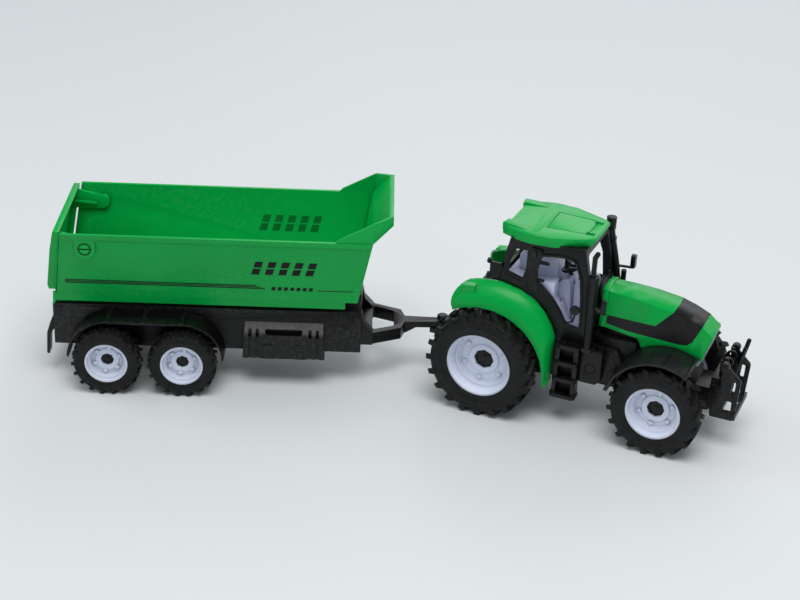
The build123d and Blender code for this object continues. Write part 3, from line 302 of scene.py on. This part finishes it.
def local_points(node, matrix):
    inverse = matrix.inverted()
    return [inverse @ v.co for v in frame["nodes"][node].data.vertices]


def new_piece(name, bm, material, body, matrix):
    """Turns a bmesh into a piece of the object, riding on a CAD body."""
    mesh = bpy.data.meshes.new(name)
    bmesh.ops.recalc_face_normals(bm, faces=bm.faces)
    bm.to_mesh(mesh)
    bm.free()
    mesh.transform(matrix)
    mesh.materials.append(material)
    obj = bpy.data.objects.new(name, mesh)
    bpy.context.scene.collection.objects.link(obj)
    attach(obj, body)
    return obj


def round_edges(obj, width, segments=2, angle=30):
    for p in obj.data.polygons:
        p.use_smooth = True
    bevel = obj.modifiers.new("bevel", "BEVEL")
    bevel.width = width * MM
    bevel.segments = segments
    bevel.limit_method = "ANGLE"
    bevel.angle_limit = math.radians(angle)
    bevel.harden_normals = True
    return obj


# ---------------------------------------------------------------- tyres
REAR_RADIUS = 33.0  # mm, the tyre whose lug widths are written below
UNEVEN = 0.015  # mm, roughness of the moulding
TYRE_SEGMENTS = 144


def carcass_profile(width, bore, crown):
    """Closed (y, radius) loop of a tyre body, y from -width/2 to width/2."""
    half = width / 2
    wall = crown - bore
    ring = bore + 0.45 * wall
    side = [
        (half - 1.6, bore), (half - 0.7, bore + 0.1), (half - 0.25, bore + 0.7),
        (half - 0.2, ring - 0.9), (half - 0.02, ring - 0.35), (half, ring), (half - 0.16, ring + 0.35),
        (half - 0.3, ring + 0.9), (half - 0.22, ring + 0.28 * wall), (half - 0.5, bore + 0.82 * wall),
        (half - 1.1, bore + 0.93 * wall), (half - 2.1, crown - 0.25), (half - 3.2, crown),
    ]
    return [(-y, r) for y, r in side] + [(y, r) for y, r in reversed(side)]


def lug_stations(width, bore, crown, height, slant):
    """Sections of a lug from the side wall inwards, in mm.

    Each is (y, base radius, top radius, base half width, top half width, shift round the tyre).
    """
    half = width / 2
    wall = crown - bore
    low = bore + 0.74 * wall
    return [
        (half - 0.15, low, low + 0.05 * wall, 2.1, 1.5, 0.0),
        (half - 0.10, low, crown + 0.45 * height, 2.3, 1.75, 0.0),
        (half - 0.45, low, crown + 0.93 * height, 2.3, 1.7, 0.1),
        (half - 1.5, crown - 1.2, crown + height, 2.25, 1.55, 0.5),
        (half * 0.62, crown - 0.6, crown + height, 2.05, 1.4, slant * 0.45),
        (half * 0.30, crown - 0.4, crown + height, 1.95, 1.35, slant * 0.8),
        (-0.06 * half, crown - 0.4, crown + height, 1.8, 1.25, slant * 1.05),
    ]


def add_loop_tube(bm, rings, closed_ends=True):
    """Joins rings of vertices, all of one length, into a tube."""
    count = len(rings[0])
    for a, b in zip(rings, rings[1:]):
        for i in range(count):
            j = (i + 1) % count
            bm.faces.new((a[i], a[j], b[j], b[i]))
    if closed_ends:
        bm.faces.new(rings[0][::-1])
        bm.faces.new(rings[-1])


def turned(bm, profile, segments):
    """Turns a closed (y, radius) loop, in mm, about the Y axis."""
    rings = []
    for k in range(segments):
        a = 2 * math.pi * k / segments
        c, s = math.cos(a) * MM, math.sin(a) * MM
        rings.append([bm.verts.new((r * c, y * MM, r * s)) for y, r in profile])
    rings.append(rings[0])
    add_loop_tube(bm, rings, closed_ends=False)


def add_lug(bm, stations, side, angle, scale):
    """One raised bar from the shoulder to just past the middle of the tread."""
    rings = []
    for y, low, high, wide, narrow, shift in stations:
        points = []
        for radius, offset in ((low, -wide), (high, -narrow), (high, narrow), (low, wide)):
            a = angle + (shift + offset * scale) / high
            r = radius * MM
            points.append(bm.verts.new((r * math.cos(a), side * y * MM, r * math.sin(a))))
        rings.append(points)
    add_loop_tube(bm, rings)


def build_tyre(name, joint, side_name, lugs, height, slant, phase):
    """Soft tyre that stands for the CAD tyre: moulded side wall and two staggered rows of slanted lugs."""
    frame_at = joint_frame(joint)
    node = name + "_tyre_" + side_name
    points = local_points(node, frame_at)
    ys = [p.y / MM for p in points]
    rs = [math.hypot(p.x, p.z) / MM for p in points]
    y_mid, width = (min(ys) + max(ys)) / 2, max(ys) - min(ys)
    bore, radius = min(rs), max(rs)
    crown = radius - height
    bm = bmesh.new()
    turned(bm, carcass_profile(width, bore, crown), TYRE_SEGMENTS)
    scale = radius / REAR_RADIUS
    for side in (-1, 1):
        stations = lug_stations(width, bore, crown, height, slant)
        for i in range(lugs):
            step = 2 * math.pi / lugs
            angle = phase + (i + (0.5 if side > 0 else 0.0)) * step
            add_lug(bm, stations, side, angle, scale)
    bmesh.ops.translate(bm, vec=(0, y_mid * MM, 0), verts=bm.verts)
    for v in bm.verts:
        v.co += v.co.normalized() * rng.uniform(-UNEVEN, UNEVEN) * MM
    obj = new_piece(node + "_look", bm, RUBBER, name + "_wheels", frame_at)
    round_edges(obj, 0.22, 2, 35)
    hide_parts(node)
    return obj


# name, joint, lugs in a row, lug height in mm, slant in mm
TYRES = (
    ("rear", "rear_axle_spin", 20, 2.2, 5.4),
    ("front", "front_axle_spin", 18, 1.9, 4.6),
    ("trailer_rear", "trailer_rear_axle_spin", 18, 1.2, 3.0),
    ("trailer_front", "trailer_front_axle_spin", 18, 1.2, 3.0),
)
for name, joint, lugs, height, slant in TYRES:
    for side_name in ("right", "left"):
        build_tyre(name, joint, side_name, lugs, height, slant, rng.uniform(0, 0.1))


# ---------------------------------------------------------------- printed marks
TRAILER = ground_frame("trailer_rear_axle_spin")


def surface(node, matrix):
    """Ray-castable copy of a CAD node in a local frame."""
    bm = bmesh.new()
    bm.from_mesh(frame["nodes"][node].data)
    bmesh.ops.transform(bm, matrix=matrix.inverted(), verts=bm.verts)
    tree = BVHTree.FromBMesh(bm)
    bm.free()
    return tree


BOX = surface("dump_box", TRAILER)


def outside_hit(x, z, side):
    """Point on the outer wall of the tub, reached from one side."""
    hit, normal, _, _ = BOX.ray_cast(Vector((x * MM, side * 0.1, z * MM)), Vector((0, -side, 0)))
    return hit, normal


def inside_hit(x, z, side):
    """Point on the inner wall of the tub, reached from its middle."""
    hit, normal, _, _ = BOX.ray_cast(Vector((x * MM, 0, z * MM)), Vector((0, side, 0)))
    return hit, normal


def stamp(bm, outline, side, reach, lift):
    """Lays a thin filled outline of (x, z) points, in mm, on the wall."""
    top, foot = [], []
    for x, z in outline:
        hit, normal = reach(x, z, side)
        top.append(bm.verts.new(hit + normal * lift * MM))
        foot.append(bm.verts.new(hit - normal * 0.02 * MM))
    count = len(top)
    bm.faces.new(top)
    for i in range(count):
        j = (i + 1) % count
        bm.faces.new((top[i], foot[i], foot[j], top[j]))


def slanted(x0, x1, z0, z1, lean):
    return [(x0, z0), (x1, z0), (x1 + lean, z1), (x0 + lean, z1)]


def mark_outlines():
    """Generic trim: three pin stripes, a dashed line, and a row of slanted blocks."""
    shapes = []
    for i in range(3):
        z = 65.7 + 1.1 * i
        x_end = 93.5 - 2.6 * i
        for k in range(6):
            a = -24.5 + (x_end + 24.5) * k / 6
            b = -24.5 + (x_end + 24.5) * (k + 1) / 6
            shapes.append([(a, z), (b, z), (b, z + 0.72), (a, z + 0.72)])
    for k in range(7):
        x = 97.0 + 3.7 * k
        shapes.append(slanted(x, x + 2.3, 65.0, 67.6, 0.5))
    shapes.append([(124.2, 65.4), (146.0, 65.4), (146.0, 66.0), (124.2, 66.0)])
    for k in range(5):
        x = 85.5 + 7.9 * k
        shapes.append(slanted(x, x + 4.6, 76.6, 81.0, 1.2))
        shapes.append(slanted(x + 1.5, x + 6.1, 81.9, 86.3, 1.2))
    return shapes


for side, tag in ((-1, "right"), (1, "left")):
    bm = bmesh.new()
    for outline in mark_outlines():
        stamp(bm, outline, side, outside_hit, 0.03)
    new_piece("tub_print_" + tag, bm, PRINT, "dump_box", TRAILER)
    bm = bmesh.new()
    for outline in mark_outlines():
        stamp(bm, outline, side, inside_hit, 0.02)
    new_piece("tub_print_through_" + tag, bm, GHOST, "dump_box", TRAILER)


def lay_pin_gap_shade(side, tag):
    """Painted shade: a dark ring on the tailgate, standing for the shadow in the gap round the head of a
    tailgate pin.
    """
    at = joint_frame("tailgate_swing")
    ys = [p.y for p in local_points("tailgate", at)]
    face = max(ys) if side > 0 else min(ys)
    bm = bmesh.new()
    rings = []
    count = 40
    for radius, depth in ((3.05, -0.02), (3.05, 0.05), (3.8, 0.05), (3.8, -0.02)):
        row = []
        for k in range(count):
            a = 2 * math.pi * k / count
            r = radius * MM
            row.append(bm.verts.new((r * math.cos(a), face + side * depth * MM, r * math.sin(a))))
        rings.append(row)
    add_loop_tube(bm, rings + rings[:1], closed_ends=False)
    new_piece("gate_pin_shade_painted_" + tag, bm, PAINTED_PIN_GAP_SHADE, "tailgate", at)


# rings of painted shade round both tailgate pins
lay_pin_gap_shade(-1, "right")
lay_pin_gap_shade(1, "left")


# ---------------------------------------------------------------- bonnet print
TRACTOR = ground_frame("rear_axle_spin")


def bonnet_material():
    """Green bonnet with a black printed band: a signed distance built from straight edges."""
    s = plastic_shader("bonnet_green", GREEN_COLOUR, 0.22, **GREEN_LOOK)
    origin = TRACTOR.translation

    def beyond(p, q):
        """Distance to the left of the line p to q, seen from the near side, in mm."""
        (x0, z0), (x1, z1) = p, q
        length = math.hypot(x1 - x0, z1 - z0)
        nx, nz = -(z1 - z0) / length, (x1 - x0) / length
        dot = s.nodes.new("ShaderNodeVectorMath")
        dot.operation = "DOT_PRODUCT"
        s.link(s.coord, dot.inputs[0])
        dot.inputs[1].default_value = (nx / MM, 0, nz / MM)
        shift = nx * (x0 + origin.x / MM) + nz * z0
        return s.math("SUBTRACT", dot.outputs["Value"], shift)

    def every(*values):
        out = values[0]
        for v in values[1:]:
            out = s.math("MINIMUM", out, v)
        return out

    under_panel = beyond((95.1, 68.6), (63.6, 68.6))
    past_slant = beyond((103.1, 77.5), (95.1, 68.6))
    top_left = s.math("MAXIMUM", under_panel, past_slant)
    front = every(beyond((117.5, 63.5), (121.3, 72.0)), beyond((114.8, 61.0), (117.5, 63.5)))
    bottom = every(
        beyond((62.6, 63.9), (79.8, 61.5)), beyond((79.8, 61.5), (110.3, 60.4)),
        beyond((110.3, 60.4), (114.8, 61.0)),
    )
    start = beyond((66.2, 80.0), (66.2, 50.0))
    inside = every(top_left, front, bottom, start)
    mask = s.remap(inside, -0.06, 0.06, 0.0, 1.0)
    paint = s.mix(s.noise(60.0, 3.0), srgb(25, 24, 26), srgb(31, 30, 32))
    old = s.bsdf.inputs["Base Color"].links[0].from_socket
    s.link(s.mix(mask, old, paint), s.bsdf.inputs["Base Color"])
    through = GREEN_LOOK["through"]
    s.link(s.remap(mask, 0.0, 1.0, through, 0.0), s.bsdf.inputs["Subsurface Weight"])
    return s.mat


frame["nodes"]["hood"].data.materials.clear()
frame["nodes"]["hood"].data.materials.append(bonnet_material())


# ---------------------------------------------------------------- studio
CAMERA_ANGLES = (22.78, 27.05, 2.37)  # degrees: bearing, height angle, roll
CAMERA_AIM = (-0.017, 0.063, -0.0286)  # from the middle of the object
CAMERA_DISTANCE = 1.058
CAMERA_LENS = 74.93
WORLD_LIGHT = 0.52
WORLD_IN_REFLECTIONS = 0.12


def floor():
    """Pale sweep: flat floor that curves up far behind the object."""
    bm = bmesh.new()
    rows = []
    for k in range(40):
        y = -3.0 + 6.0 * k / 39
        z = 0.0 if y < 1.6 else (y - 1.6) ** 2 * 0.5
        rows.append([bm.verts.new((x, y, z)) for x in (-4.0, -1.5, 0.0, 1.5, 4.0)])
    for a, b in zip(rows, rows[1:]):
        for i in range(4):
            bm.faces.new((a[i], a[i + 1], b[i + 1], b[i]))
    mesh = bpy.data.meshes.new("floor")
    bm.to_mesh(mesh)
    bm.free()
    mesh.shade_smooth()
    s = Shader("floor_paper")
    s.link(s.mix(s.noise(1.5, 4.0), srgb(214, 217, 219), srgb(218, 221, 223)), s.bsdf.inputs["Base Color"])
    s.bsdf.inputs["Roughness"].default_value = 0.55
    s.bsdf.inputs["Specular IOR Level"].default_value = 0.3
    s.bump(s.noise(600.0, 3.0), 0.00002)
    mesh.materials.append(s.mat)
    obj = bpy.data.objects.new("floor", mesh)
    bpy.context.scene.collection.objects.link(obj)
    obj.rotation_euler = (0, 0, math.radians(22.8))


def softbox(name, location, target, size, power, colour=(1, 1, 1)):
    light = bpy.data.lights.new(name, "AREA")
    light.shape = "RECTANGLE"
    light.size, light.size_y = size
    light.energy = power
    light.color = colour
    obj = bpy.data.objects.new(name, light)
    bpy.context.scene.collection.objects.link(obj)
    obj.location = location
    obj.rotation_euler = (Vector(target) - Vector(location)).to_track_quat("-Z", "Y").to_euler()
    return obj


def camera():
    """Camera at a fixed bearing, height angle and roll about a point near the middle of the object."""
    low, high = CAD_BOX
    centre = (Vector(low) + Vector(high)) / 2
    azimuth, elevation, roll = (math.radians(a) for a in CAMERA_ANGLES)
    back = Vector((math.sin(azimuth) * math.cos(elevation), -math.cos(azimuth) * math.cos(elevation),
                   math.sin(elevation)))
    right = Vector((math.cos(azimuth), math.sin(azimuth), 0))
    up = back.cross(right)
    tilted_right = right * math.cos(roll) + up * math.sin(roll)
    tilted_up = up * math.cos(roll) - right * math.sin(roll)
    aim = centre + Vector(CAMERA_AIM)
    m = Matrix((tilted_right, tilted_up, back)).transposed().to_4x4()
    m.translation = aim + back * CAMERA_DISTANCE
    cam = bpy.data.cameras.new("camera")
    cam.lens = CAMERA_LENS
    cam.sensor_width = 36
    obj = bpy.data.objects.new("camera", cam)
    obj.matrix_world = m
    bpy.context.scene.collection.objects.link(obj)
    bpy.context.scene.camera = obj


floor()
camera()
softbox("key", (0.3, -0.55, 1.7), (0, 0, 0), (1.2, 0.9), 20.0, (1.0, 0.99, 0.97))
softbox("left", (-1.7, -0.3, 1.0), (0, 0, 0.05), (1.0, 1.0), 7.0, (0.97, 0.99, 1.0))
softbox("back", (0.1, 2.0, 1.1), (0, 0.2, 0.0), (2.8, 1.0), 15.0, (0.98, 0.99, 1.0))
world = bpy.data.worlds.new("studio")
world.use_nodes = True
nodes, links = world.node_tree.nodes, world.node_tree.links
sky = nodes["Background"]
sky.inputs["Color"].default_value = (0.82, 0.86, 0.9, 1)
path = nodes.new("ShaderNodeLightPath")
level = nodes.new("ShaderNodeMapRange")
level.inputs["To Min"].default_value = WORLD_LIGHT
level.inputs["To Max"].default_value = WORLD_IN_REFLECTIONS
links.new(path.outputs["Is Glossy Ray"], level.inputs["Value"])
links.new(level.outputs["Result"], sky.inputs["Strength"])
bpy.context.scene.world = world
bpy.context.scene.view_settings.view_transform = "Standard"
